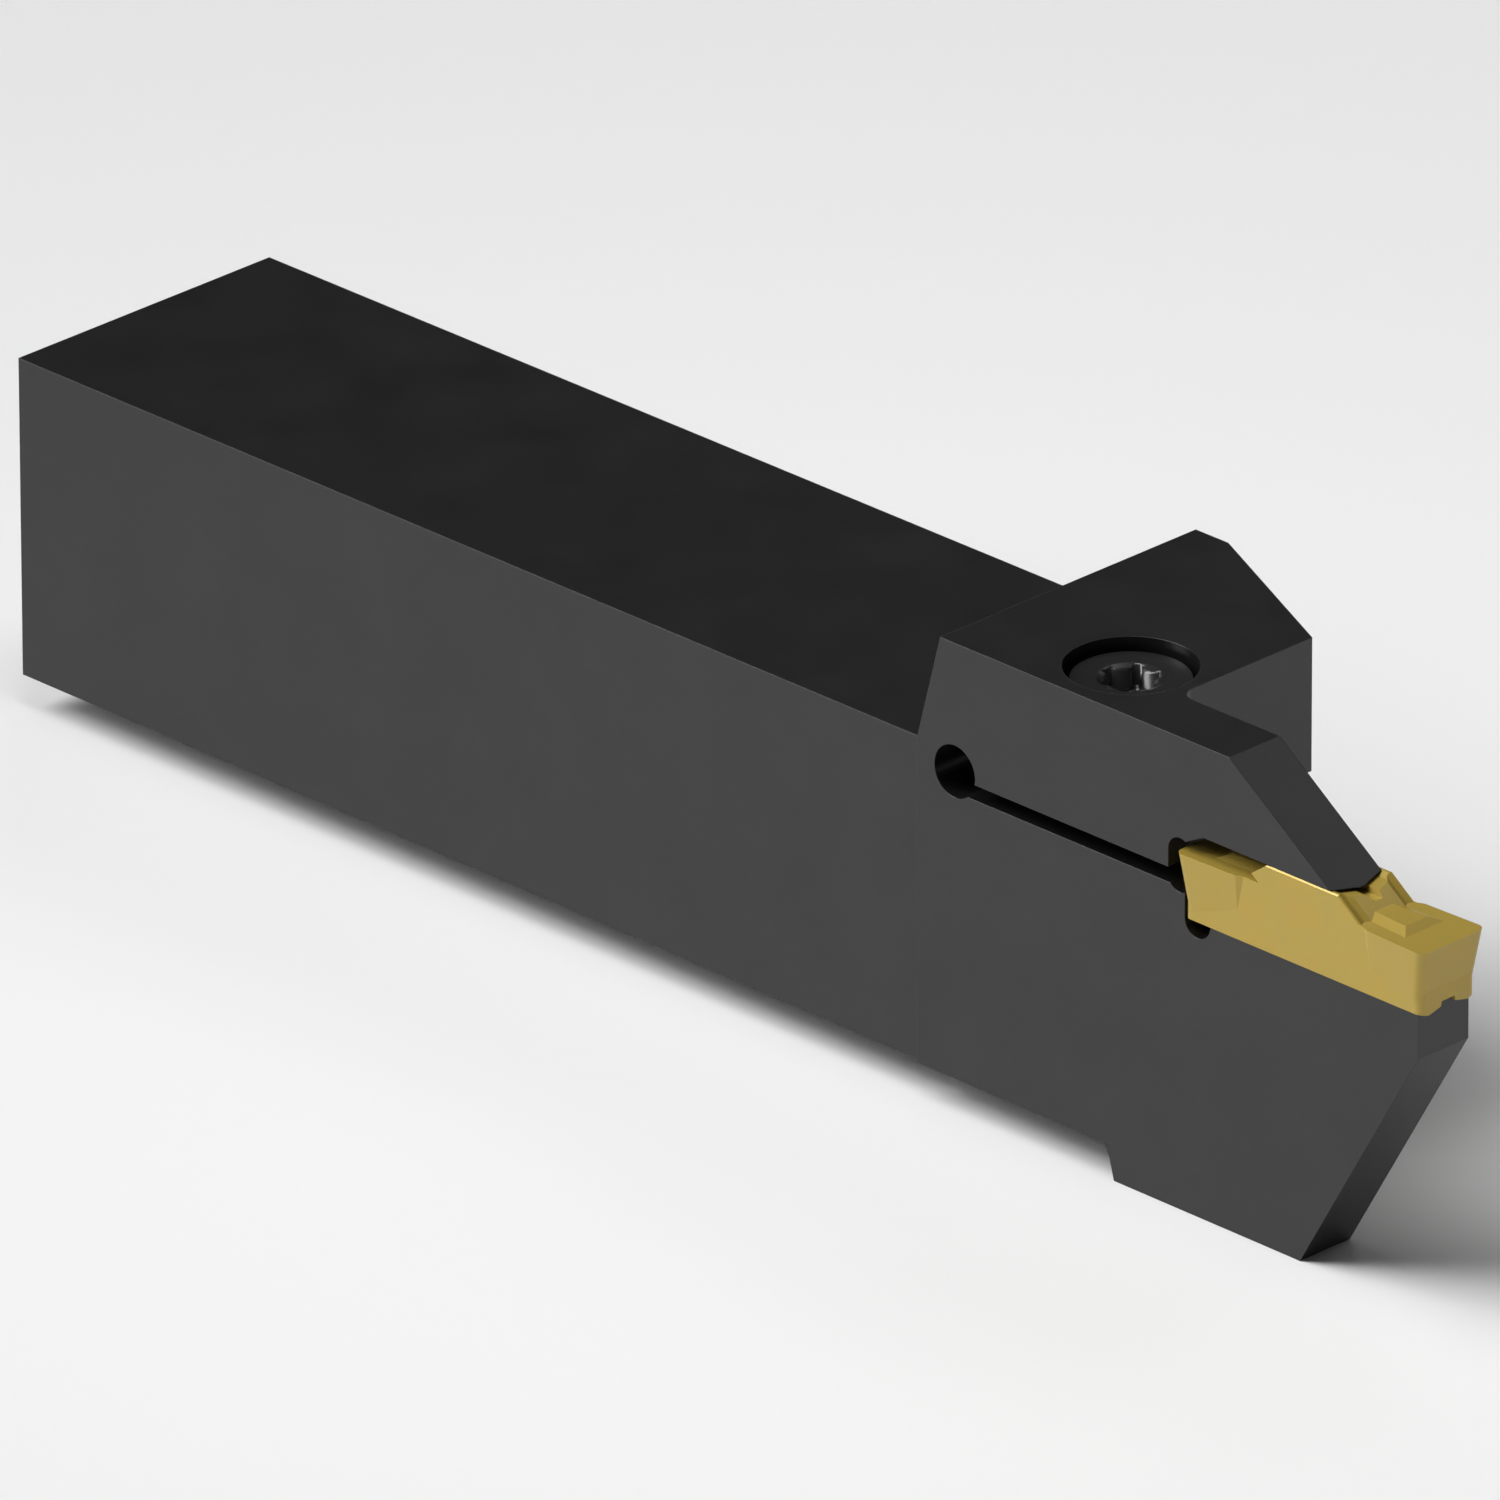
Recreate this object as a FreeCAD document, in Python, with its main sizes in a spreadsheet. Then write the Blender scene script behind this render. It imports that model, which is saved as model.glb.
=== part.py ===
import FreeCAD, Part
import math
import os
import Sketcher

# Parting tool holder. A square steel shank carries a taller head that narrows to a thin
# blade. A slit through the head leaves a springy upper jaw. A socket head screw draws the
# jaw down on a double ended cutting insert.
#
# Sizes are in millimetres. While a body is drawn, x runs along the shank from its rear end
# to the cutting edge, y runs across it from its left side face, and z runs up from its
# underside. Each body's Placement then moves it into the frame of the finished part, whose
# origin is the middle of the shank's underside.

doc = FreeCAD.newDocument("parting_tool_holder")

# Driving dimensions

SIZES = [
    # shank
    ("shank_length", 91.3), ("shank_width", 25.0), ("shank_height", 25.0),
    # head block
    ("head_height", 33.57), ("head_proud", 0.43), ("head_rear_lean", 2.3),
    ("block_length", 20.7), ("corner_start", 5.5), ("corner_depth", 7.2),
    # blade: the jaw's finger above, the support below
    ("blade_thickness", 5.0), ("blade_root_fillet", 1.3),
    ("finger_flat", 9.75), ("finger_run", 9.8),
    ("nose_reach", 48.7), ("nose_foot_height", 16.63),
    ("support_depth", 2.62), ("support_back", 18.7), ("support_back_lean", 0.7),
    ("support_front", 37.5), ("support_fillet", 0.5),
    # slit and the hole that ends it
    ("slit_floor", 22.15), ("slit_gap", 1.16),
    ("slit_hole_diameter", 4.0), ("slit_hole_reach", 3.75), ("slit_hole_height", 23.72),
    # pocket behind the insert
    ("relief_reach", 25.73), ("relief_width", 2.3), ("relief_low", 22.88), ("relief_high", 24.73),
    ("stop_reach", 26.2), ("floor_relief_radius", 1.25), ("floor_relief_height", 20.03),
    ("jaw_ramp_start", 26.15), ("jaw_ramp_run", 1.8), ("jaw_ramp_rise", 0.92),
    # seat and jaw, as seen along the shank
    ("seat_centre", 2.24),
    ("seat_valley_height", 19.83), ("seat_valley_half", 1.9), ("seat_crest_rise", 0.29),
    ("seat_crest_half", 0.72), ("seat_flank_rise", 0.2),
    ("rail_rise", 0.26), ("rail_top_half", 0.5),
    ("jaw_edge_height", 26.62), ("jaw_edge_half", 2.6), ("jaw_slope", 0.14),
    ("jaw_keel_half", 0.6), ("jaw_keel_tip_half", 0.38), ("jaw_keel_height", 26.27),
    # cutting insert
    ("insert_length", 23.79), ("stop_gap", 0.026), ("edge_width", 6.39), ("edge_height", 25.0),
    ("insert_body_width", 5.445), ("side_taper", 0.0375), ("side_clearance", 0.097),
    ("front_clearance", 0.156), ("clearance_depth", 3.3),
    ("head_length", 5.46), ("head_length_far", 5.63), ("shoulder_run", 0.58),
    ("shoulder_step", 0.26),
    ("nose_radius", 0.66), ("nose_foot_radius", 0.59), ("body_corner_radius", 0.6),
    ("ramp_angle", 36.0), ("ramp_foot", 5.65),
    ("ramp_face_half", 1.68), ("ramp_valley_half", 2.12), ("ramp_valley_depth", 0.17),
    ("ramp_edge_depth", 0.05),
    ("rail_height", 26.58), ("rail_chamfer", 0.1), ("rail_flat_half", 2.42),
    ("rail_bend_half", 1.9), ("rail_bend_drop", 0.26), ("rail_foot_drop", 0.46),
    ("top_groove_half", 0.62), ("top_groove_floor_half", 0.465),
    ("top_groove_floor", 25.74), ("under_groove_rise", 0.38), ("under_groove_top_half", 0.62),
    ("former_height", 0.35), ("former_front", 2.8), ("former_front_half", 1.92),
    ("former_slope_run", 0.77), ("former_side_run", 0.82), ("former_taper", 0.06),
    # clamp screw and its seat
    ("screw_reach", 15.03), ("screw_across", 5.59),
    ("screw_head_diameter", 8.6), ("screw_head_length", 5.0), ("screw_head_below", 0.9),
    ("screw_diameter", 5.0), ("screw_length", 16.0), ("screw_point_chamfer", 0.6),
    ("counterbore_clearance", 0.535), ("screw_hole_clearance", 0.25), ("thread_clearance", 0.05),
    ("thread_run_out", 2.5),
    ("socket_across", 4.5), ("socket_waist", 3.25), ("socket_lobe_radius", 0.39),
    ("socket_wall", 1.5), ("socket_floor_angle", 31.0), ("socket_mouth", 4.9),
    ("socket_mouth_slope", 18.0), ("socket_turn", 33.0),
]

sheet = doc.addObject("Spreadsheet::Sheet", "size")
for row, (name, value) in enumerate(SIZES, start=1):
    sheet.set("A%d" % row, name)
    sheet.set("B%d" % row, str(value))
    sheet.setAlias("B%d" % row, name)
doc.recompute()


class Size:
    """A length with the expression that ties it to the sheet."""

    def __init__(self, value, text):
        self.value = value
        self.text = text

    def __add__(self, other):
        other = as_size(other)
        return Size(self.value + other.value, "(%s + %s)" % (self.text, other.text))

    def __sub__(self, other):
        other = as_size(other)
        return Size(self.value - other.value, "(%s - %s)" % (self.text, other.text))

    def __mul__(self, other):
        other = as_size(other)
        return Size(self.value * other.value, "(%s * %s)" % (self.text, other.text))

    def __truediv__(self, other):
        other = as_size(other)
        return Size(self.value / other.value, "(%s / %s)" % (self.text, other.text))

    def __neg__(self):
        return Size(-self.value, "(0 - %s)" % self.text)

    def __radd__(self, other):
        return as_size(other) + self

    def __rsub__(self, other):
        return as_size(other) - self

    def __rmul__(self, other):
        return as_size(other) * self


def as_size(number):
    if isinstance(number, Size):
        return number
    return Size(float(number), repr(float(number)))


def tangent(angle):
    return Size(math.tan(math.radians(angle.value)), "tan(%s * 1 deg)" % angle.text)


def cosine(angle):
    return Size(math.cos(math.radians(angle.value)), "cos(%s * 1 deg)" % angle.text)


D = {name: Size(value, "size." + name) for name, value in SIZES}

# Drawing helpers


def new_body(name):
    body = doc.addObject("PartDesign::Body", name)
    body.Label = name
    return body


def new_sketch(body, name, role, offset=0.0):
    """A sketch on an origin plane, moved along the plane's normal by offset."""
    plane = [f for f in body.Origin.OriginFeatures if f.Role == role][0]
    sketch = body.newObject("Sketcher::SketchObject", name)
    sketch.AttachmentSupport = [(plane, "")]
    sketch.MapMode = "FlatFace"
    offset = as_size(offset)
    if offset.value:
        sketch.AttachmentOffset = FreeCAD.Placement(
            FreeCAD.Vector(0, 0, offset.value), FreeCAD.Rotation())
        sketch.setExpression("AttachmentOffset.Base.z", offset.text)
    return sketch


def pin(sketch, geometry, position, across, up, label):
    """Tie one point of a sketch to its two coordinates."""
    for kind, axis, size in (("DistanceX", -2, across), ("DistanceY", -1, up)):
        size = as_size(size)
        if abs(size.value) < 1e-9:
            sketch.addConstraint(Sketcher.Constraint("PointOnObject", geometry, position, axis))
            continue
        if size.value > 0:
            rule = Sketcher.Constraint(kind, -1, 1, geometry, position, size.value)
        else:
            size = -size
            rule = Sketcher.Constraint(kind, geometry, position, -1, 1, size.value)
        index = sketch.addConstraint(rule)
        name = "%s_%s" % (label, "across" if kind == "DistanceX" else "up")
        sketch.renameConstraint(index, name)
        if "size." in size.text:
            sketch.setExpression("Constraints.%s" % name, size.text)


def outline(sketch, points, label="p"):
    """A closed polygon, every corner tied to its coordinates."""
    points = [(as_size(a), as_size(b)) for a, b in points]
    spots = [FreeCAD.Vector(a.value, b.value, 0) for a, b in points]
    first = sketch.GeometryCount
    count = len(points)
    for i in range(count):
        sketch.addGeometry(Part.LineSegment(spots[i], spots[(i + 1) % count]), False)
    for i in range(count):
        sketch.addConstraint(Sketcher.Constraint(
            "Coincident", first + i, 2, first + (i + 1) % count, 1))
    for i in range(count):
        pin(sketch, first + i, 1, points[i][0], points[i][1], "%s%d" % (label, i))


def circle(sketch, across, up, radius, label="c"):
    across, up, radius = as_size(across), as_size(up), as_size(radius)
    index = sketch.addGeometry(Part.Circle(
        FreeCAD.Vector(across.value, up.value, 0), FreeCAD.Vector(0, 0, 1), radius.value), False)
    pin(sketch, index, 3, across, up, label)
    rule = sketch.addConstraint(Sketcher.Constraint("Radius", index, radius.value))
    sketch.renameConstraint(rule, label + "_radius")
    sketch.setExpression("Constraints.%s_radius" % label, radius.text)


def pad(body, name, sketch, length, backwards=False, both=False):
    length = as_size(length)
    feature = body.newObject("PartDesign::Pad", name)
    feature.Profile = sketch
    feature.Length = length.value
    feature.setExpression("Length", length.text)
    feature.Reversed = backwards
    feature.Midplane = both
    settle(body, feature)
    return feature


def pocket(body, name, sketch, length=None, backwards=False):
    """Cut to a depth, or through everything on both sides when no length is given."""
    feature = body.newObject("PartDesign::Pocket", name)
    feature.Profile = sketch
    if length is None:
        feature.Type = "ThroughAll"
        feature.Midplane = True
    else:
        length = as_size(length)
        feature.Length = length.value
        feature.setExpression("Length", length.text)
        feature.Reversed = backwards
    settle(body, feature)
    return feature


def revolved_cut(body, name, sketch):
    feature = body.newObject("PartDesign::Groove", name)
    feature.Profile = sketch
    feature.ReferenceAxis = (sketch, ["V_Axis"])
    feature.Angle = 360
    settle(body, feature)
    return feature


def loft(body, name, low, high):
    feature = body.newObject("PartDesign::AdditiveLoft", name)
    feature.Profile = low
    feature.Sections = [high]
    feature.Ruled = True
    settle(body, feature)
    return feature


def fillet(body, name, radius, spots):
    """Round the edges that pass through the given points."""
    shape = body.Tip.Shape
    found = []
    for spot in spots:
        probe = Part.Vertex(FreeCAD.Vector(*spot))
        near = [i for i, edge in enumerate(shape.Edges, start=1)
                if probe.distToShape(edge)[0] < 0.02]
        if not near:
            raise ValueError("%s: no edge at %s" % (name, spot))
        found += ["Edge%d" % i for i in near if "Edge%d" % i not in found]
    base = body.Tip
    feature = body.newObject("PartDesign::Fillet", name)
    feature.Base = (base, found)
    feature.Radius = radius.value
    feature.setExpression("Radius", radius.text)
    settle(body, feature)
    return feature


def settle(body, feature):
    """Recompute and see that the feature changed the body's volume."""
    doc.recompute()
    shape = feature.Shape
    if shape.isNull() or not shape.isValid():
        raise ValueError("%s has no valid shape" % feature.Name)
    base = feature.BaseFeature
    if base is not None and abs(base.Shape.Volume - shape.Volume) < 1e-6:
        raise ValueError("%s changes nothing" % feature.Name)


# Positions that several features share

block_front = D["shank_length"] + D["block_length"]
finger_end = block_front + D["finger_flat"]
nose_x = D["shank_length"] + D["nose_reach"]
left = -D["head_proud"]
blade_right = D["blade_thickness"] - D["head_proud"]
screw_x = D["shank_length"] + D["screw_reach"]
screw_seat = D["head_height"] - D["screw_head_below"] - D["screw_head_length"]
stop_x = D["shank_length"] + D["stop_reach"]
jaw_start = D["shank_length"] + D["jaw_ramp_start"]
finger_drop = D["head_height"] - D["jaw_edge_height"]


def jaw_underside(half):
    """Height of the jaw's sloping underside at a distance from the seat's middle."""
    return D["jaw_edge_height"] - (D["jaw_edge_half"] - half) * D["jaw_slope"]


def seat_flank(half):
    """Height of the seat's outer flank at a distance from the seat's middle."""
    run = D["insert_body_width"] / 2 - D["seat_valley_half"]
    return D["seat_valley_height"] + (half - D["seat_valley_half"]) * D["seat_flank_rise"] / run


# Holder body

holder = new_body("holder_body")

sk = new_sketch(holder, "shank_section", "YZ_Plane")
outline(sk, [(0, 0), (D["shank_width"], 0), (D["shank_width"], D["shank_height"]),
             (0, D["shank_height"])])
pad(holder, "shank", sk, D["shank_length"] + D["corner_start"] / 2)

sk = new_sketch(holder, "head_plan", "XY_Plane")
outline(sk, [(D["shank_length"], left), (block_front, left),
             (block_front, D["shank_width"] - D["corner_depth"]),
             (D["shank_length"] + D["corner_start"], D["shank_width"]),
             (D["shank_length"], D["shank_width"])])
pad(holder, "head_block", sk, D["head_height"])

# The head's rear wall leans forward above the shank.
sk = new_sketch(holder, "head_rear_side", "XZ_Plane")
outline(sk, [(D["shank_length"], D["shank_height"]),
             (D["shank_length"] + D["head_rear_lean"], D["head_height"]),
             (D["shank_length"] + D["head_rear_lean"], D["head_height"] + 5),
             (D["shank_length"] - 5, D["head_height"] + 5),
             (D["shank_length"] - 5, D["shank_height"])])
pocket(holder, "head_rear_wall", sk)

# Side view of the blade, with the space for the insert still filled.
sk = new_sketch(holder, "blade_side", "XZ_Plane", D["head_proud"])
low_corner = D["edge_height"] + 0.5
blade_start = block_front - D["blade_thickness"]
outline(sk, [(blade_start, 0),
             (D["shank_length"] + D["support_back"], 0),
             (D["shank_length"] + D["support_back"] + D["support_back_lean"], -D["support_depth"]),
             (D["shank_length"] + D["support_front"], -D["support_depth"]),
             (nose_x, D["nose_foot_height"]),
             (nose_x, low_corner),
             (finger_end + D["finger_run"] * (D["head_height"] - low_corner) / finger_drop,
              low_corner),
             (finger_end, D["head_height"]),
             (blade_start, D["head_height"])])
pad(holder, "blade", sk, D["blade_thickness"], backwards=True)

fillet(holder, "blade_root", D["blade_root_fillet"],
       [(block_front.value, blade_right.value, D["shank_height"].value)])
fillet(holder, "support_root", D["support_fillet"],
       [((D["shank_length"] + D["support_back"]).value, 2.0, 0.0)])

# The slit runs forward from its round end to the pocket and out at the head's front.
sk = new_sketch(holder, "slit_side", "XZ_Plane")
slit_end = D["shank_length"] + D["slit_hole_reach"]
outline(sk, [(slit_end, D["slit_floor"]),
             (D["shank_length"] + D["relief_reach"], D["slit_floor"]),
             (D["shank_length"] + D["relief_reach"], D["slit_floor"] + D["slit_gap"]),
             (slit_end, D["slit_floor"] + D["slit_gap"])])
pocket(holder, "slit", sk)

sk = new_sketch(holder, "slit_hole_side", "XZ_Plane")
circle(sk, slit_end, D["slit_hole_height"], D["slit_hole_diameter"] / 2)
pocket(holder, "slit_hole", sk)

# Room behind the insert's idle edge: an upright slot with round ends.
relief_x = D["shank_length"] + D["relief_reach"]
half = D["relief_width"] / 2
sk = new_sketch(holder, "relief_side", "XZ_Plane")
outline(sk, [(relief_x - half, D["relief_low"]), (relief_x + half, D["relief_low"]),
             (relief_x + half, D["relief_high"]), (relief_x - half, D["relief_high"])])
pocket(holder, "relief", sk)
for end in ("low", "high"):
    sk = new_sketch(holder, "relief_%s_side" % end, "XZ_Plane")
    circle(sk, relief_x, D["relief_" + end], half)
    pocket(holder, "relief_%s_end" % end, sk)

# Rear of the pocket: the stop wall, the round relief in its foot and the jaw's ramp.
floor_relief_x = stop_x + D["floor_relief_radius"]
sk = new_sketch(holder, "floor_relief_side", "XZ_Plane")
circle(sk, floor_relief_x, D["floor_relief_height"], D["floor_relief_radius"])
pocket(holder, "floor_relief", sk)

sk = new_sketch(holder, "pocket_rear_side", "XZ_Plane")
ramp_end = jaw_start + D["jaw_ramp_run"]
outline(sk, [(stop_x, D["floor_relief_height"]),
             (floor_relief_x + D["floor_relief_radius"] * 0.6, D["floor_relief_height"]),
             (ramp_end, D["floor_relief_height"] + 1),
             (ramp_end, D["jaw_edge_height"]),
             (jaw_start, D["jaw_edge_height"] - D["jaw_ramp_rise"]),
             (stop_x, D["jaw_edge_height"] - D["jaw_ramp_rise"] - 0.2)])
pocket(holder, "pocket_rear", sk)

# Seat and jaw seen along the shank: a ridged vee under the insert and a shallow vee with
# a keel over it.
sk = new_sketch(holder, "seat_section", "YZ_Plane", nose_x + 2)
wide = as_size(3.6)
rail_base = D["seat_valley_height"] + D["seat_crest_rise"]
seat = [(-wide, seat_flank(wide)),
        (-D["seat_valley_half"], D["seat_valley_height"]),
        (-D["seat_crest_half"], rail_base),
        (-D["rail_top_half"], rail_base + D["rail_rise"]),
        (D["rail_top_half"], rail_base + D["rail_rise"]),
        (D["seat_crest_half"], rail_base),
        (D["seat_valley_half"], D["seat_valley_height"]),
        (wide, seat_flank(wide)),
        (wide, jaw_underside(wide)),
        (D["jaw_keel_half"], jaw_underside(D["jaw_keel_half"])),
        (D["jaw_keel_tip_half"], D["jaw_keel_height"]),
        (-D["jaw_keel_tip_half"], D["jaw_keel_height"]),
        (-D["jaw_keel_half"], jaw_underside(D["jaw_keel_half"])),
        (-wide, jaw_underside(wide))]
outline(sk, [(D["seat_centre"] + a, b) for a, b in seat])
pocket(holder, "insert_seat", sk, nose_x + 2 - ramp_end)

# Screw seat from above: counterbore, clearance hole through the jaw, tapped hole below.
bore_radius = D["screw_head_diameter"] / 2 + D["counterbore_clearance"]
sk = new_sketch(holder, "counterbore_plan", "XY_Plane", D["head_height"])
circle(sk, screw_x, D["screw_across"], bore_radius)
pocket(holder, "counterbore", sk, D["screw_head_below"] + D["screw_head_length"])

sk = new_sketch(holder, "screw_hole_plan", "XY_Plane", D["head_height"])
circle(sk, screw_x, D["screw_across"], D["screw_diameter"] / 2 + D["screw_hole_clearance"])
pocket(holder, "screw_hole", sk, D["head_height"] - D["slit_floor"] - D["slit_gap"] / 2)

thread_depth = D["slit_floor"] - (screw_seat - D["screw_length"]) + D["thread_run_out"]
thread_radius = D["screw_diameter"] / 2 + D["thread_clearance"]
sk = new_sketch(holder, "tapped_hole_plan", "XY_Plane", D["slit_floor"] + D["slit_gap"] / 2)
circle(sk, screw_x, D["screw_across"], thread_radius)
pocket(holder, "tapped_hole", sk, thread_depth + D["slit_gap"] / 2)

# Cutting insert, drawn about its own middle: u along it, v across it, z from the shank's
# underside. Both ends are the same, turned half round.

insert = new_body("cutting_insert")

half_length = D["insert_length"] / 2
body_half = D["insert_body_width"] / 2
edge_half = D["edge_width"] / 2
slope = tangent(D["ramp_angle"])
top = D["rail_height"]
deck = D["edge_height"]
ramp_top = D["ramp_foot"] - (top - deck) / slope

# The raised rail that the jaw presses on, with a ramp at each end.
sk = new_sketch(insert, "rail_side", "XZ_Plane")
outline(sk, [(-D["ramp_foot"], deck), (D["ramp_foot"], deck), (ramp_top, top), (-ramp_top, top)])
pad(insert, "rail", sk, D["insert_body_width"], both=True)

# Top of the rail along its length: narrow flats at its edges, a hollow and a groove in it.
sk = new_sketch(insert, "rail_section", "YZ_Plane")
chamfer = D["rail_chamfer"]
outline(sk, [(-body_half, top - chamfer),
             (chamfer - body_half, top),
             (-D["rail_flat_half"], top),
             (-D["rail_bend_half"], top - D["rail_bend_drop"]),
             (-D["top_groove_half"], top - D["rail_foot_drop"]),
             (-D["top_groove_floor_half"], D["top_groove_floor"]),
             (D["top_groove_floor_half"], D["top_groove_floor"]),
             (D["top_groove_half"], top - D["rail_foot_drop"]),
             (D["rail_bend_half"], top - D["rail_bend_drop"]),
             (D["rail_flat_half"], top),
             (body_half - chamfer, top),
             (body_half, top - chamfer),
             (body_half + 1, top - chamfer),
             (body_half + 1, top + 1),
             (-body_half - 1, top + 1),
             (-body_half - 1, top - chamfer)])
pocket(insert, "rail_top", sk)

# A narrow valley runs down each ramp along both its sides. It is cut along the ramp, so its
# sketch stands square to the ramp.
for side, sign in (("front", 1.0), ("rear", -1.0)):
    plane = [f for f in insert.Origin.OriginFeatures if f.Role == "YZ_Plane"][0]
    sk = insert.newObject("Sketcher::SketchObject", "ramp_valley_%s_section" % side)
    sk.AttachmentSupport = [(plane, "")]
    sk.MapMode = "FlatFace"
    tilt = D["ramp_angle"]
    start = D["ramp_foot"] + 1
    drop = slope
    sk.AttachmentOffset = FreeCAD.Placement(
        FreeCAD.Vector(0, deck.value - drop.value, sign * start.value),
        FreeCAD.Rotation(FreeCAD.Vector(1, 0, 0), -sign * tilt.value))
    sk.setExpression("AttachmentOffset.Base.y", (deck - drop).text)
    sk.setExpression("AttachmentOffset.Base.z", (sign * start).text)
    sk.setExpression("AttachmentOffset.Rotation.Angle", "%s * 1 deg" % tilt.text)
    for label, v in (("a", 1.0), ("b", -1.0)):
        outline(sk, [(v * D["ramp_face_half"], 0), (v * D["ramp_valley_half"], -D["ramp_valley_depth"]),
                     (v * (body_half - chamfer), -D["ramp_edge_depth"]),
                     (v * (body_half + 1), -D["ramp_edge_depth"] - chamfer - 1),
                     (v * (body_half + 1), 2), (v * D["ramp_face_half"], 2)], label)
    pocket(insert, "ramp_valley_%s" % side, sk, D["ramp_foot"] + 1 - ramp_top / 2,
           backwards=(sign < 0))

# The upright body below the deck. The heads' relieved fronts meet its ends at their waist.
under = D["seat_valley_height"] - 0.5
waist = deck - D["clearance_depth"]
front_face = half_length - D["front_clearance"] * D["clearance_depth"]
sk = new_sketch(insert, "body_plan", "XY_Plane", under)
outline(sk, [(-front_face, -body_half), (front_face, -body_half),
             (front_face, body_half), (-front_face, body_half)])
pad(insert, "lower_body", sk, deck - under)
fillet(insert, "body_corners", D["body_corner_radius"],
       [(a * front_face.value, b * body_half.value, waist.value) for a in (1, -1) for b in (1, -1)])


def head_plan(name, sign, height, radius):
    """Plan of one cutting head at a height: it narrows back and down from its edge."""
    depth = deck - height
    sk = new_sketch(insert, name, "XY_Plane", height)
    edge = edge_half - depth * D["side_clearance"]
    front = half_length - depth * D["front_clearance"]
    root = D["ramp_foot"] - 0.7
    sides = []
    for side, reach in ((1.0, D["head_length_far"]), (-1.0, D["head_length"])):
        back = half_length - reach
        back_half = edge - reach * D["side_taper"]
        root_half = back_half - D["shoulder_step"]
        sides.append([(back, side * back_half), (back - D["shoulder_run"], side * root_half),
                      (root, side * root_half)])
    chain = [(sign * as_size(a), sign * as_size(b)) for a, b in sides[0] + sides[1][::-1]]
    spots = [FreeCAD.Vector(a.value, as_size(b).value, 0) for a, b in chain]
    for i in range(len(spots) - 1):
        sk.addGeometry(Part.LineSegment(spots[i], spots[i + 1]), False)
    for i in range(len(spots) - 2):
        sk.addConstraint(Sketcher.Constraint("Coincident", i, 2, i + 1, 1))
    for i, (a, b) in enumerate(chain[:-1]):
        pin(sk, i, 1, a, b, "p%d" % i)
    pin(sk, len(chain) - 2, 2, chain[-1][0], chain[-1][1], "p%d" % (len(chain) - 1))
    # Each cutting corner is an arc that touches the front edge and the tapering side.
    taper = D["side_taper"].value
    sharp_half = edge - (half_length - front) * D["side_taper"]
    lean = math.hypot(1, taper)
    r = radius.value
    centre_v = sharp_half.value - taper * r - r * lean
    ends = []
    for v, near in ((-sign, len(spots) - 1), (sign, 0)):
        centre = FreeCAD.Vector(sign * (front.value - r), v * centre_v, 0)
        on_side = centre + FreeCAD.Vector(-sign * taper, v, 0) * (r / lean)
        on_front = centre + FreeCAD.Vector(sign * r, 0, 0)
        middle = centre + FreeCAD.Vector(sign, v, 0).normalize() * r
        ends.append((spots[near], on_side, middle, on_front, v))
    (back_low, side_low, mid_low, front_low, _), (back_high, side_high, mid_high, front_high, _) = ends
    first = sk.GeometryCount
    sk.addGeometry(Part.LineSegment(back_low, side_low), False)
    sk.addGeometry(Part.Arc(side_low, mid_low, front_low), False)
    sk.addGeometry(Part.LineSegment(front_low, front_high), False)
    sk.addGeometry(Part.Arc(front_high, mid_high, side_high), False)
    sk.addGeometry(Part.LineSegment(side_high, back_high), False)
    sk.addConstraint(Sketcher.Constraint("Coincident", len(chain) - 2, 2, first, 1))
    sk.addConstraint(Sketcher.Constraint("Coincident", first + 4, 2, 0, 1))
    arc_ends = {}
    for arc, before, after in ((first + 1, side_low, front_low), (first + 3, front_high, side_high)):
        at_start = sk.getPoint(arc, 1)
        forward = at_start.distanceToPoint(before) < at_start.distanceToPoint(after)
        arc_ends[arc] = (1, 2) if forward else (2, 1)
    for arc in (first + 1, first + 3):
        entry, leave = arc_ends[arc]
        sk.addConstraint(Sketcher.Constraint("Tangent", arc - 1, 2, arc, entry))
        sk.addConstraint(Sketcher.Constraint("Tangent", arc, leave, arc + 1, 1))
        rule = sk.addConstraint(Sketcher.Constraint("Radius", arc, r))
        sk.renameConstraint(rule, "corner%d" % arc)
        sk.setExpression("Constraints.corner%d" % arc, radius.text)
    for v, side_line in ((-sign, first), (sign, first + 4)):
        sharp = sk.addGeometry(Part.Point(FreeCAD.Vector(
            sign * front.value, v * sharp_half.value, 0)), True)
        pin(sk, sharp, 1, sign * front, v * sharp_half, "sharp%d" % sharp)
        sk.addConstraint(Sketcher.Constraint("PointOnObject", sharp, 1, side_line))
        sk.addConstraint(Sketcher.Constraint("PointOnObject", sharp, 1, first + 2))
    return sk


# The cutting heads are relieved all round. Low down they run into the upright body.
for side, sign in (("front", 1.0), ("rear", -1.0)):
    edge_plan = head_plan("head_%s_edge" % side, sign, deck, D["nose_radius"])
    foot_plan = head_plan("head_%s_foot" % side, sign, under, D["nose_foot_radius"])
    loft(insert, "head_%s" % side, edge_plan, foot_plan)

# Chip former on each head: a low plateau with sloping sides.
for side, sign in (("front", 1.0), ("rear", -1.0)):
    base_front = half_length - D["former_front"]
    root = D["ramp_foot"] - 1.2
    reach = base_front - root
    plans = []
    for level, inset_front, inset_side, name in (
            (deck, as_size(0), as_size(0), "foot"),
            (deck + D["former_height"], D["former_slope_run"], D["former_side_run"], "top")):
        sk = new_sketch(insert, "former_%s_%s" % (side, name), "XY_Plane", level)
        front_half = D["former_front_half"] - inset_side
        back_half = front_half - reach * D["former_taper"]
        outline(sk, [(sign * root, -back_half), (sign * (base_front - inset_front), -front_half),
                     (sign * (base_front - inset_front), front_half), (sign * root, back_half)])
        plans.append(sk)
    loft(insert, "former_%s" % side, plans[0], plans[1])

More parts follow.
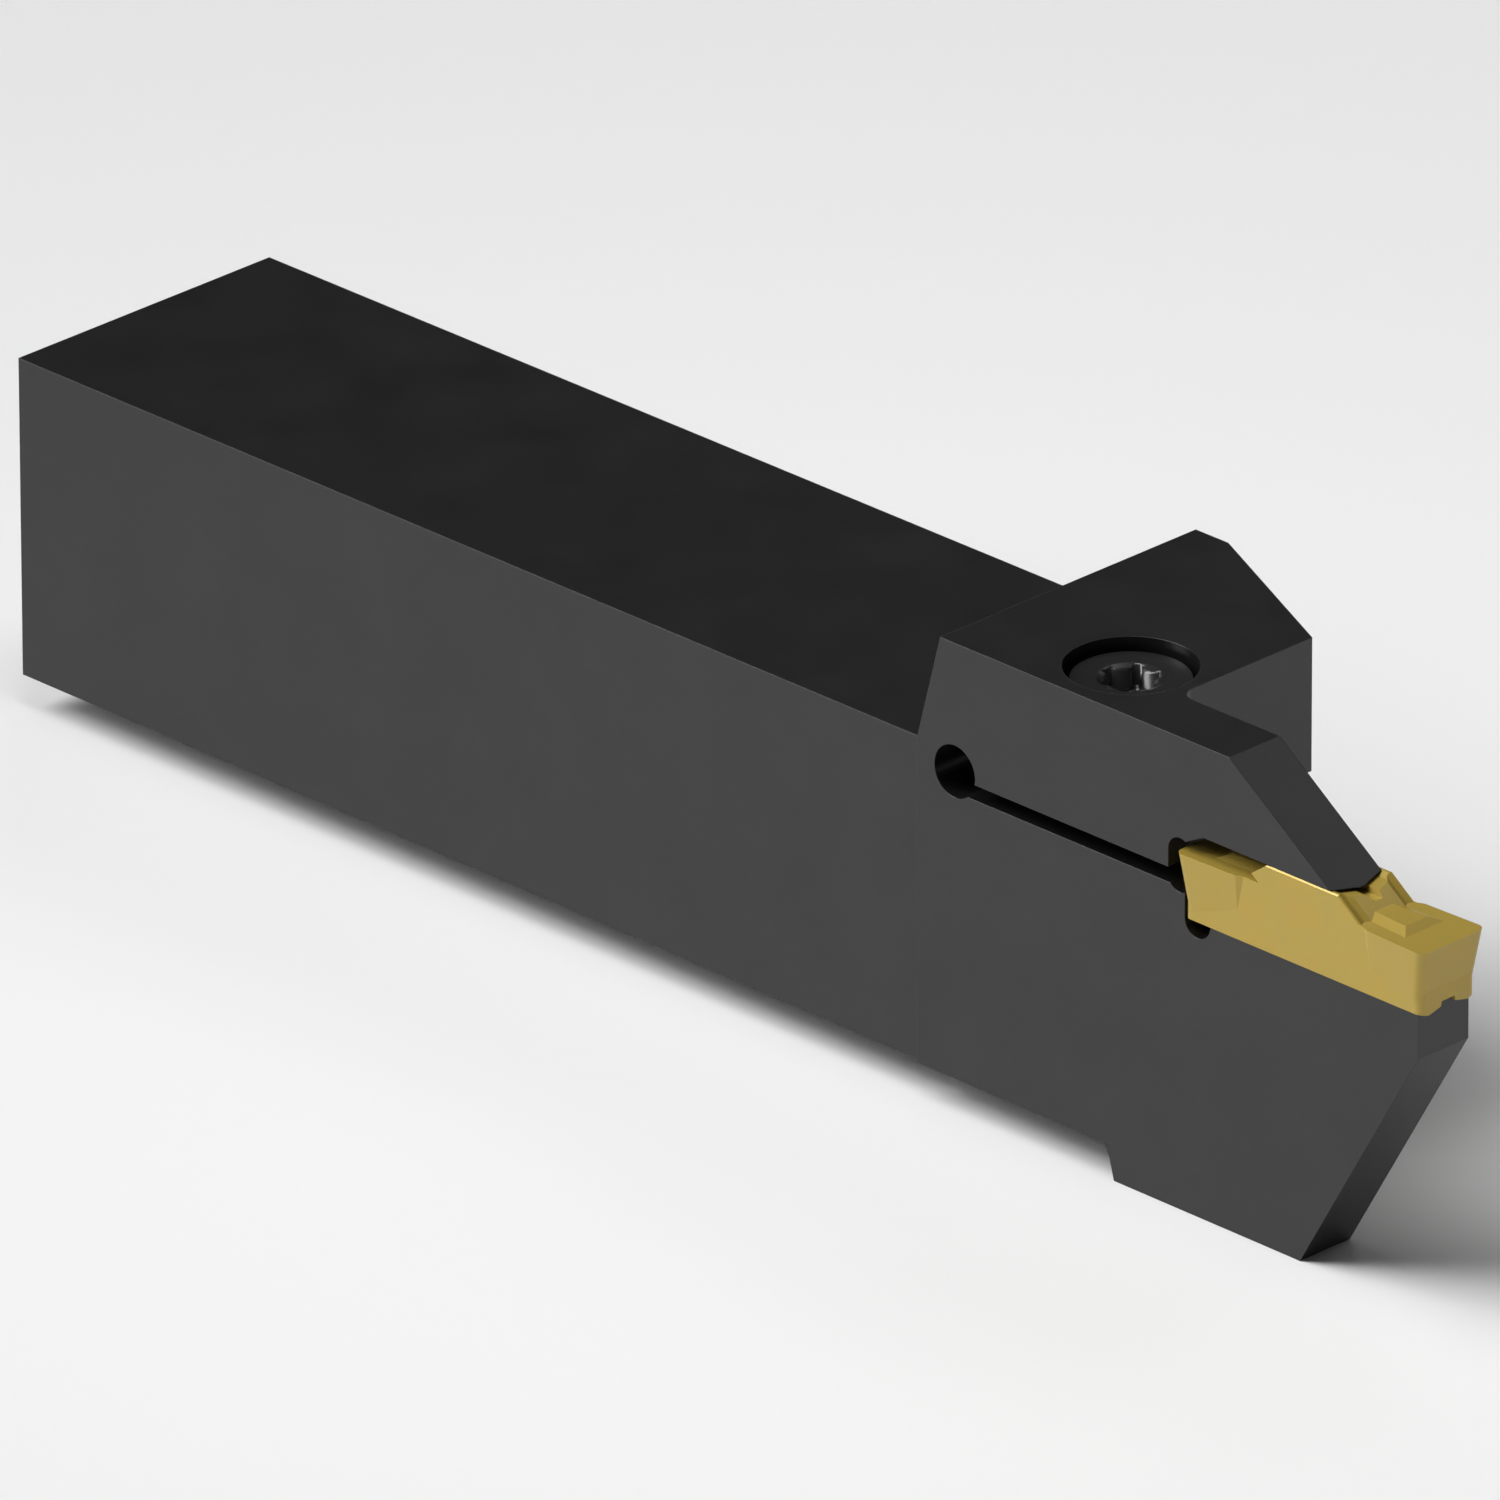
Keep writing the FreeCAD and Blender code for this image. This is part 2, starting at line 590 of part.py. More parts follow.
# Underside: it sits in the seat's vee, with a groove over the seat's rail.
sk = new_sketch(insert, "underside_section", "YZ_Plane")
groove_base = D["seat_valley_height"] + D["seat_crest_rise"]
wide = as_size(4.0)
outline(sk, [(-wide, seat_flank(wide)),
             (-D["seat_valley_half"], D["seat_valley_height"]),
             (-D["seat_crest_half"], groove_base),
             (-D["under_groove_top_half"], groove_base + D["under_groove_rise"]),
             (D["under_groove_top_half"], groove_base + D["under_groove_rise"]),
             (D["seat_crest_half"], groove_base),
             (D["seat_valley_half"], D["seat_valley_height"]),
             (wide, seat_flank(wide)),
             (wide, under - 1), (-wide, under - 1)])
pocket(insert, "underside", sk)

# Clamp screw, drawn about its axis with the bearing face of its head at z = 0.

screw = new_body("clamp_screw")

sk = new_sketch(screw, "shank_plan", "XY_Plane")
circle(sk, 0, 0, D["screw_diameter"] / 2)
pad(screw, "screw_shank", sk, D["screw_length"], backwards=True)

sk = new_sketch(screw, "screw_point_side", "XZ_Plane")
point = D["screw_point_chamfer"]
rim = D["screw_diameter"] / 2
outline(sk, [(rim - point, -D["screw_length"]), (rim + point, 2 * point - D["screw_length"]),
             (rim + point, -D["screw_length"] - point), (rim - point, -D["screw_length"] - point)])
revolved_cut(screw, "screw_point", sk)

sk = new_sketch(screw, "head_plan", "XY_Plane")
circle(sk, 0, 0, D["screw_head_diameter"] / 2)
pad(screw, "screw_head", sk, D["screw_head_length"])

# Six lobed socket with a conical floor and a shallow conical mouth. Between the lobes six
# round pillars stand in from its wall.
socket_radius = D["socket_across"] / 2
lobe = D["socket_lobe_radius"]
lobe_ring = socket_radius - lobe
pillar_reach = D["socket_waist"] / 2
half_pitch = cosine(as_size(30))
pillar = (lobe * lobe - lobe_ring * lobe_ring - pillar_reach * pillar_reach
          + 2 * lobe_ring * pillar_reach * half_pitch) / (
              2 * pillar_reach - 2 * lobe_ring * half_pitch - 2 * lobe)
rim = D["screw_head_length"]
floor_drop = socket_radius * tangent(D["socket_floor_angle"])

sk = new_sketch(screw, "socket_side", "XZ_Plane")
outline(sk, [(0, rim), (socket_radius, rim), (socket_radius, rim - D["socket_wall"]),
             (0, rim - D["socket_wall"] - floor_drop)])
revolved_cut(screw, "socket", sk)

sk = new_sketch(screw, "socket_pillar_plan", "XY_Plane", rim - D["socket_wall"] - floor_drop)
circle(sk, pillar_reach + pillar, 0, pillar)
socket_pillar = pad(screw, "socket_pillar", sk, D["socket_wall"] + floor_drop)
pillars = screw.newObject("PartDesign::PolarPattern", "socket_pillars")
pillars.Originals = [socket_pillar]
pillars.Axis = (sk, ["N_Axis"])
pillars.Angle = 360
pillars.Occurrences = 6
screw.Tip = pillars
doc.recompute()

mouth = D["socket_mouth"] / 2
sk = new_sketch(screw, "socket_mouth_side", "XZ_Plane")
outline(sk, [(0, rim), (mouth, rim), (0, rim - mouth * tangent(D["socket_mouth_slope"]))])
revolved_cut(screw, "socket_mouth", sk)

# Placements in the frame of the finished part

insert_x = stop_x + D["stop_gap"] + front_face
shift_x = -D["shank_length"] / 2
shift_y = -D["shank_width"] / 2
for body, x, y, z in ((holder, shift_x, shift_y, as_size(0)),
                      (insert, insert_x + shift_x, D["seat_centre"] + shift_y, as_size(0)),
                      (screw, screw_x + shift_x, D["screw_across"] + shift_y, screw_seat)):
    turn = D["socket_turn"].value if body is screw else 0
    body.Placement = FreeCAD.Placement(FreeCAD.Vector(x.value, y.value, z.value),
                                       FreeCAD.Rotation(FreeCAD.Vector(0, 0, 1), turn))
    body.setExpression("Placement.Base.x", x.text)
    body.setExpression("Placement.Base.y", y.text)
    body.setExpression("Placement.Base.z", z.text)
screw.setExpression("Placement.Rotation.Angle", D["socket_turn"].text + " * 1 deg")
doc.recompute()

# Checks and files

for item in doc.Objects:
    if any(word in item.State for word in ("Invalid", "Error")):
        raise ValueError("%s is not up to date: %s" % (item.Name, item.State))

os.makedirs("parts", exist_ok=True)
for body in (holder, insert, screw):
    shape = body.Shape
    if shape.isNull() or not shape.isValid() or len(shape.Solids) != 1:
        raise ValueError("%s is not one valid solid" % body.Label)
    box = shape.optimalBoundingBox()
    print("%s volume %.1f mm3, x %.2f to %.2f, y %.2f to %.2f, z %.2f to %.2f" % (
        body.Label, shape.Volume, box.XMin, box.XMax, box.YMin, box.YMax, box.ZMin, box.ZMax))
for body in (holder, insert, screw):
    body.Shape.exportStep("parts/%s.step" % body.Label)
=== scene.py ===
import math

import bmesh
import bpy
from bpy.props import FloatProperty, FloatVectorProperty, IntProperty, PointerProperty
from bpy.types import Operator, Panel, PropertyGroup
from mathutils import Matrix, Vector


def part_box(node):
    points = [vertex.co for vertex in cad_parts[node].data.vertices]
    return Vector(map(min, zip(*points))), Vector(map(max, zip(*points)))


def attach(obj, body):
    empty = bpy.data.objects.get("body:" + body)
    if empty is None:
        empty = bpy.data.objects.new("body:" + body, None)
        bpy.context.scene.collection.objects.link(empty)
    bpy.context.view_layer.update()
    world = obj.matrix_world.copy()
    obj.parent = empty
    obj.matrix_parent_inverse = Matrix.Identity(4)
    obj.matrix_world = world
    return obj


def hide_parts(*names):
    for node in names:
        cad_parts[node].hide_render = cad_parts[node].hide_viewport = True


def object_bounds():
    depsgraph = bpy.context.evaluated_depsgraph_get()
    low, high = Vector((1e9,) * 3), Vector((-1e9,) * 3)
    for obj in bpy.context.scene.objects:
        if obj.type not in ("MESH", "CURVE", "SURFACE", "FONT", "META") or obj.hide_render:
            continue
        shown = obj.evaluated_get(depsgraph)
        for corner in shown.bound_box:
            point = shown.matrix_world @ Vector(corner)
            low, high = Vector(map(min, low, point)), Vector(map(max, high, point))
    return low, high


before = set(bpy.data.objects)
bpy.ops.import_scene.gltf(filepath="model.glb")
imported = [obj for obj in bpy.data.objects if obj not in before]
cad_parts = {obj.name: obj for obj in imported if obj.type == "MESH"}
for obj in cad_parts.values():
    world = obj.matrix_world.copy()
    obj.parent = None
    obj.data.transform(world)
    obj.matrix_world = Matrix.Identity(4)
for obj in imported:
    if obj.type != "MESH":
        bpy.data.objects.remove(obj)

bl_info = {
    "name": "Parting tool holder",
    "version": (1, 0, 0),
    "blender": (4, 5, 0),
    "location": "View3D > Sidebar > Tool Holder",
    "description": "Finishes a parting tool holder, its coated insert and its clamp screw",
    "category": "Object",
}

# Places that come from the solids

CAD_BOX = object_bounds()
LOWEST = CAD_BOX[0][2]
SCREW_LOW, SCREW_HIGH = (Vector(corner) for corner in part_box("clamp_screw"))
SCREW_AXIS = (SCREW_LOW + SCREW_HIGH) / 2

# The clamp screw's mesh, with lengths in metres

HEAD_LENGTH = 0.005
# The solid's shank is kept for this length under the head, and the next such length is bridged.
NECK = 0.0003
# Points this close are one: at the cut, in the solid's mesh and in the thread.
CUT = 1e-8
MERGE = 1e-7
WELD = 1e-6
# Turns that the thread is spun past each end, before it is pressed into a ring there.
SPARE_TURNS = 2
# One tooth of the thread from root to root: share of the pitch, share of the thread's depth.
TOOTH = [(0.0, 0.0), (0.14, 0.0), (0.44, 1.0), (0.57, 1.0), (0.87, 0.0), (1.0, 0.0)]

# Patterns of the finishes. A noise has waves per metre, detail and roughness, and the milling
# marks are stretched along the tool.

NOISE_RANGE = (0.3, 0.7)
SHINE_SPREAD = 0.02
MILLING_STRETCH = (900.0, 9000.0, 9000.0)
MILLING_NOISE = (1.0, 3.0, 0.6)
MILLING_CONTRAST = 0.12
MILLING_SHARE = 0.25
MILLING_STRENGTH = 0.25
OXIDE_NOISE = (160.0, 4.0, 0.55)
OXIDE_CONTRAST = 0.05
EDGE_SAMPLES = 6
PRESSED_NOISE = (14000.0, 3.0, 0.6)
PRESSED_STRENGTH = 0.2
TINT_NOISE = (500.0, 3.0, 0.5)
WARM_TINT = (1.03, 1.0, 0.92)
COOL_TINT = (0.98, 1.01, 1.08)

# Floor, camera and light. Lengths are in metres, the sensor in millimetres, angles in degrees.

FLOOR_GAP = 0.00002
FLOOR_SEGMENTS = 64
FLOOR_ROUGHNESS = 0.9
SENSOR = 36.0
CLIP = (0.05, 100.0)
# Grey of the sky by the height of its direction: 0 at the horizon, 1 overhead.
SKY = [(0.0, 0.8), (0.08, 0.75), (0.16, 0.0), (0.5, 0.0), (0.62, 0.06), (1.0, 0.06)]
TOOL_PLACE = Vector((0.03, 0.0, 0.015))
INSERT_PLACE = Vector((0.09, 0.0, 0.015))
INSERT_LAMP_SIZE = 0.1
INSERT_LAMP_WATTS = 0.17
# Azimuth, elevation and distance. A distant lamp shines the same from any distance.
INSERT_LAMP_SPOT = (-60.0, 72.0, 0.25)
DISTANT_LAMP_DISTANCE = 2.4
DISTANT_LAMPS = [
    # name, azimuth, elevation, angular width, strength
    ("key", -42.0, 30.0, 29.0, 1.24),
    ("high_key", -45.0, 52.0, 34.0, 1.8),
    ("back", 160.0, 45.0, 21.5, 0.12),
    ("rim", -150.0, 46.0, 24.0, 0.15),
]


class SteelFinish(PropertyGroup):
    """Colours and roughness of the hardened steel holder."""

    colour: FloatVectorProperty(
        name="Steel", description="Dark satin grey of the oxidised steel",
        subtype="COLOR", size=3, min=0.0, max=1.0, default=(0.061, 0.061, 0.061))
    roughness: FloatProperty(
        name="Roughness", description="How satin the milled faces are",
        subtype="FACTOR", min=0.0, max=1.0, default=0.34)
    metal: FloatProperty(
        name="Metal", description="How much the oxide lets the metal show",
        subtype="FACTOR", min=0.0, max=1.0, default=0.92)
    grain: FloatProperty(
        name="Milling grain", description="Height of the finest milling marks",
        unit="LENGTH", subtype="DISTANCE", min=0.0, max=0.0001, default=0.000002, precision=7)
    worn_edge: FloatProperty(
        name="Edge rounding", description="Radius that handling gives the sharp edges",
        unit="LENGTH", subtype="DISTANCE", min=0.0, max=0.001, default=0.00008, precision=5)


class CoatingFinish(PropertyGroup):
    """Colours and roughness of the coated carbide insert."""

    colour: FloatVectorProperty(
        name="Coating", description="Pale gold of the nitride coating",
        subtype="COLOR", size=3, min=0.0, max=1.0, default=(0.45, 0.318, 0.056))
    roughness: FloatProperty(
        name="Roughness", description="How satin the coating is",
        subtype="FACTOR", min=0.0, max=1.0, default=0.3)
    metal: FloatProperty(
        name="Metal", description="How metallic the thin coating looks",
        subtype="FACTOR", min=0.0, max=1.0, default=0.22)
    grain: FloatProperty(
        name="Sintered grain", description="Height of the pressed carbide's grain",
        unit="LENGTH", subtype="DISTANCE", min=0.0, max=0.0001, default=0.000002, precision=7)


class ScrewFinish(PropertyGroup):
    """Colours and thread of the clamp screw."""

    colour: FloatVectorProperty(
        name="Screw steel", description="Dark grey of the oxidised screw",
        subtype="COLOR", size=3, min=0.0, max=1.0, default=(0.061, 0.061, 0.061))
    roughness: FloatProperty(
        name="Roughness", description="How smooth the screw is",
        subtype="FACTOR", min=0.0, max=1.0, default=0.26)
    metal: FloatProperty(
        name="Metal", description="How much the oxide lets the metal show",
        subtype="FACTOR", min=0.0, max=1.0, default=0.75)
    grain: FloatProperty(
        name="Turning grain", description="Height of the finest turning marks",
        unit="LENGTH", subtype="DISTANCE", min=0.0, max=0.0001, default=0.000001, precision=7)
    worn_edge: FloatProperty(
        name="Edge rounding", description="Radius of the head's and socket's edges",
        unit="LENGTH", subtype="DISTANCE", min=0.0, max=0.001, default=0.00004, precision=5)
    thread_pitch: FloatProperty(
        name="Pitch", description="Distance from one turn of the thread to the next",
        unit="LENGTH", subtype="DISTANCE", min=0.0002, max=0.002, default=0.0008, precision=5)
    thread_depth: FloatProperty(
        name="Thread depth", description="Height of the thread's ridge",
        unit="LENGTH", subtype="DISTANCE", min=0.0001, max=0.001, default=0.00046, precision=5)
    thread_diameter: FloatProperty(
        name="Thread diameter", description="Diameter over the thread's crests",
        unit="LENGTH", subtype="DISTANCE", min=0.001, max=0.02, default=0.005, precision=5)
    point_chamfer: FloatProperty(
        name="Point chamfer", description="Width of the chamfer at the screw's end",
        unit="LENGTH", subtype="DISTANCE", min=0.0, max=0.002, default=0.0006, precision=5)
    segments: IntProperty(
        name="Segments", description="Steps in one turn of the thread",
        min=16, max=96, default=48)


class Studio(PropertyGroup):
    """Floor and camera."""

    floor_colour: FloatVectorProperty(
        name="Floor", description="Pale floor under the tool",
        subtype="COLOR", size=3, min=0.0, max=1.0, default=(0.91, 0.91, 0.91))
    floor_radius: FloatProperty(
        name="Floor radius", description="Radius of the round floor",
        unit="LENGTH", subtype="DISTANCE", min=1.0, max=100.0, default=30.0)
    azimuth: FloatProperty(
        name="Azimuth", description="Camera's direction round the tool",
        unit="ROTATION", subtype="ANGLE", default=math.radians(45.234))
    elevation: FloatProperty(
        name="Elevation", description="Camera's height over the horizon",
        unit="ROTATION", subtype="ANGLE", default=math.radians(24.981))
    roll: FloatProperty(
        name="Roll", description="Camera's turn about its own axis",
        unit="ROTATION", subtype="ANGLE", default=math.radians(-0.156))
    distance: FloatProperty(
        name="Distance", description="From the camera to the middle of the tool",
        unit="LENGTH", subtype="DISTANCE", min=0.1, max=20.0, default=2.1551)
    lens: FloatProperty(
        name="Focal length", description="Focal length on a 36 mm sensor",
        subtype="DISTANCE_CAMERA", min=10.0, max=2000.0, default=732.14)
    offset: FloatVectorProperty(
        name="Camera offset", description="Camera's step to its left and down",
        subtype="XYZ_LENGTH", size=2, default=(0.005804, -0.000338))
    look_at: FloatVectorProperty(
        name="Look at", description="Point near the middle of the tool",
        subtype="XYZ_LENGTH", size=3, default=(0.02435, 0.0, 0.0125))


# Finishes


class Nodes:
    """Adds nodes to a material or world and joins them."""

    def __init__(self, tree):
        self.tree = tree
        tree.nodes.clear()

    def add(self, kind, inputs=None, **settings):
        node = self.tree.nodes.new(kind)
        for name, value in settings.items():
            setattr(node, name, value)
        for name, value in (inputs or {}).items():
            socket = node.inputs[name]
            if isinstance(value, bpy.types.NodeSocket):
                self.tree.links.new(value, socket)
            else:
                socket.default_value = value
        return node

    def noise(self, place, scale, detail, roughness):
        node = self.add("ShaderNodeTexNoise", {
            "Vector": place, "Scale": scale, "Detail": detail, "Roughness": roughness})
        return node.outputs["Fac"]

    def ramp(self, source, stops):
        """Blend from colour to colour by position."""
        node = self.add("ShaderNodeValToRGB", {"Fac": source})
        elements = node.color_ramp.elements
        while len(elements) < len(stops):
            elements.new(0.5)
        for element, (position, colour) in zip(elements, stops):
            element.position = position
            element.color = (*colour, 1.0)
        return node.outputs["Color"]

    def mottle(self, noise, colour, low_tint, high_tint):
        """Vary a colour between two tints of it."""
        tinted = [[channel * share for channel, share in zip(colour, tint)]
                  for tint in (low_tint, high_tint)]
        return self.ramp(noise, list(zip(NOISE_RANGE, tinted)))

    def shine(self, noise, roughness):
        """Vary a roughness a little."""
        node = self.add("ShaderNodeMapRange", {
            "Value": noise, "From Min": NOISE_RANGE[0], "From Max": NOISE_RANGE[1],
            "To Min": roughness - SHINE_SPREAD, "To Max": roughness + SHINE_SPREAD})
        return node.outputs["Result"]

    def finish(self, colour, roughness, normal, metal):
        """Close the material with one plain surface."""
        shader = self.add("ShaderNodeBsdfPrincipled", {
            "Base Color": colour, "Roughness": roughness, "Normal": normal, "Metallic": metal})
        self.add("ShaderNodeOutputMaterial", {"Surface": shader.outputs["BSDF"]})


def new_material(name):
    material = bpy.data.materials.new(name)
    material.use_nodes = True
    return material, Nodes(material.node_tree)


def grey_tints(contrast):
    return (1.0 - contrast,) * 3, (1.0 + contrast,) * 3


def steel_material(name, look):
    """Oxidised steel with fine milling marks that run along the tool."""
    material, nodes = new_material(name)
    place = nodes.add("ShaderNodeTexCoord").outputs["Object"]
    marks_place = nodes.add("ShaderNodeMapping", {"Vector": place, "Scale": MILLING_STRETCH})
    marks = nodes.noise(marks_place.outputs["Vector"], *MILLING_NOISE)
    oxide = nodes.noise(place, *OXIDE_NOISE)
    marked = nodes.add("ShaderNodeMix", {
        "Factor": MILLING_SHARE,
        "A": nodes.mottle(oxide, look.colour, *grey_tints(OXIDE_CONTRAST)),
        "B": nodes.mottle(marks, look.colour, *grey_tints(MILLING_CONTRAST))},
        data_type="RGBA")
    rounded = nodes.add("ShaderNodeBevel", {"Radius": look.worn_edge}, samples=EDGE_SAMPLES)
    bump = nodes.add("ShaderNodeBump", {
        "Height": marks, "Strength": MILLING_STRENGTH, "Distance": look.grain,
        "Normal": rounded.outputs["Normal"]})
    nodes.finish(marked.outputs["Result"], nodes.shine(oxide, look.roughness),
                 bump.outputs["Normal"], look.metal)
    return material


def coating_material(name, look):
    """Pale gold nitride coating on pressed carbide."""
    material, nodes = new_material(name)
    place = nodes.add("ShaderNodeTexCoord").outputs["Object"]
    pressed = nodes.noise(place, *PRESSED_NOISE)
    tint = nodes.noise(place, *TINT_NOISE)
    bump = nodes.add("ShaderNodeBump", {
        "Height": pressed, "Strength": PRESSED_STRENGTH, "Distance": look.grain})
    nodes.finish(nodes.mottle(tint, look.colour, COOL_TINT, WARM_TINT),
                 nodes.shine(pressed, look.roughness), bump.outputs["Normal"], look.metal)
    return material


def give_material(piece, material):
    """Put one material in every slot of a piece."""
    if not piece.material_slots:
        piece.data.materials.append(material)
    for slot in piece.material_slots:
        slot.material = material


def new_piece(name, build, material):
    """Turn a bmesh into an object at the origin, and put it in the scene."""
    mesh = bpy.data.meshes.new(name)
    build.to_mesh(mesh)
    build.free()
    piece = bpy.data.objects.new(name, mesh)
    bpy.context.scene.collection.objects.link(piece)
    give_material(piece, material)
    return piece


# Operators


class TOOLHOLDER_OT_holder_body(Operator):
    """Give the holder its dark satin steel"""

    bl_idname = "toolholder.holder_body"
    bl_label = "Finish the holder"

    def execute(self, context):
        material = steel_material("holder_steel", context.scene.holder_steel)
        give_material(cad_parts["holder_body"], material)
        return {"FINISHED"}


class TOOLHOLDER_OT_cutting_insert(Operator):
    """Give the insert its pale gold coating"""

    bl_idname = "toolholder.cutting_insert"
    bl_label = "Finish the insert"

    def execute(self, context):
        material = coating_material("insert_coating", context.scene.insert_coating)
        give_material(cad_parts["cutting_insert"], material)
        return {"FINISHED"}


class TOOLHOLDER_OT_clamp_screw(Operator):
    """Make the clamp screw with its socket head and its cut thread"""

    bl_idname = "toolholder.clamp_screw"
    bl_label = "Make the clamp screw"

    def execute(self, context):
        look = context.scene.clamp_screw
        head_seat = SCREW_HIGH.z - HEAD_LENGTH
        build = self.head(head_seat - NECK)
        rim = [edge for edge in build.edges if edge.is_boundary]
        top, bottom = self.thread(build, look, SCREW_LOW.z, head_seat - 2 * NECK)
        bmesh.ops.bridge_loops(build, edges=rim + top)
        bmesh.ops.holes_fill(build, edges=bottom, sides=0)
        bmesh.ops.triangulate(build, faces=[face for face in build.faces if len(face.verts) > 4])
        bmesh.ops.recalc_face_normals(build, faces=build.faces)
        if any(not edge.is_manifold for edge in build.edges):
            raise RuntimeError("the clamp screw isn't closed")

        piece = new_piece("clamp_screw_threaded", build, steel_material("screw_steel", look))
        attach(piece, "root")
        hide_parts("clamp_screw")
        return {"FINISHED"}

    def head(self, lower_end):
        """The solid's head, socket and neck, cut open at a height."""
        build = bmesh.new()
        build.from_mesh(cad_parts["clamp_screw"].data)
        bmesh.ops.remove_doubles(build, verts=build.verts, dist=MERGE)
        bmesh.ops.bisect_plane(
            build, geom=build.verts[:] + build.edges[:] + build.faces[:], dist=CUT,
            plane_co=(0, 0, lower_end), plane_no=(0, 0, 1), clear_inner=True)
        return build

    def thread(self, build, look, low, high):
        """Spin a tooth up the screw, end it in a plain ring above and below, and return both."""
        crest = look.thread_diameter / 2
        root = crest - look.thread_depth
        point = crest - look.point_chamfer
        before = set(build.verts)
        # The spin starts below the thread and ends above it, so that its ends are whole rings.
        tooth = [build.verts.new((
            SCREW_AXIS.x + root + rise * look.thread_depth, SCREW_AXIS.y,
            low + (share - SPARE_TURNS) * look.thread_pitch)) for share, rise in TOOTH]
        flanks = [build.edges.new(pair) for pair in zip(tooth, tooth[1:])]
        turns = int((high - low) / look.thread_pitch) + 2 * SPARE_TURNS
        bmesh.ops.spin(
            build, geom=tooth + flanks, cent=(SCREW_AXIS.x, SCREW_AXIS.y, 0), axis=(0, 0, 1),
            dvec=(0, 0, look.thread_pitch / look.segments), angle=math.tau * turns,
            steps=look.segments * turns, use_merge=False)

        made = [vert for vert in build.verts if vert not in before]
        for vert in made:
            across = (vert.co - SCREW_AXIS).to_2d()
            height, out = vert.co.z, across.length
            if height >= high:
                height, out = high, crest
            elif height <= low:
                height, out = low, point
            across = across.normalized() * min(out, point + height - low)
            vert.co = (SCREW_AXIS.x + across.x, SCREW_AXIS.y + across.y, height)
        bmesh.ops.remove_doubles(build, verts=made, dist=WELD)
        made = [vert for vert in made if vert.is_valid]
        loose = [vert for vert in made if not vert.link_faces]
        bmesh.ops.delete(build, geom=loose, context="VERTS")
        rings = []
        for level in (high, low):
            ring = {vert for vert in made if vert.is_valid and abs(vert.co.z - level) < MERGE}
            rings.append([edge for edge in build.edges if edge.is_boundary and all(
                vert in ring for vert in edge.verts)])
        return rings


def direction(azimuth, elevation):
    """Unit vector towards two angles; azimuth 0 is in front of the blade's side."""
    level = math.cos(elevation)
    return Vector((math.sin(azimuth) * level, -math.cos(azimuth) * level, math.sin(elevation)))


def add_lamp(light, faced, azimuth, elevation, distance):
    """Put a lamp at a distance from the place that it faces, by angles in degrees."""
    lamp = bpy.data.objects.new(light.name, light)
    towards = direction(math.radians(azimuth), math.radians(elevation))
    lamp.matrix_world = Matrix.Translation(faced + towards * distance) @ \
        towards.to_track_quat("Z", "Y").to_matrix().to_4x4()
    bpy.context.scene.collection.objects.link(lamp)


